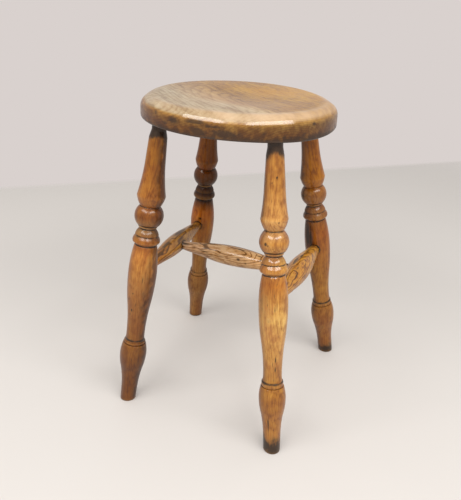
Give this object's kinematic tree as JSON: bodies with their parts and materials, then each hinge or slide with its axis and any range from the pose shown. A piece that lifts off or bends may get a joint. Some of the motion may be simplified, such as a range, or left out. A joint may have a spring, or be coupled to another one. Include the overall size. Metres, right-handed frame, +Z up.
{
  "type": "stool",
  "caption": "Round stool with a dished wooden seat on splayed turned legs, braced by swelled stretchers joined in an H.",
  "frame": {"origin": "on the floor, at the middle of the stool's box", "axes": "+Z up, X along the cross stretcher, -Y towards the front of the stool"},
  "size_m": [0.3262, 0.3384, 0.508],
  "materials": {
    "seat_elm": "waxed, worn paler on top, semi-gloss",
    "turned_legs": "stained and waxed, semi-gloss",
    "stretchers": "stained and waxed, semi-gloss, open grain"
  },
  "bodies": {
    "root": {"seat": "seat_elm", "leg_front_left": "turned_legs", "leg_front_right": "turned_legs", "leg_back_left": "turned_legs", "leg_back_right": "turned_legs", "side_stretcher_left": "stretchers", "side_stretcher_right": "stretchers", "cross_stretcher": "stretchers"}
  },
  "joints": []
}
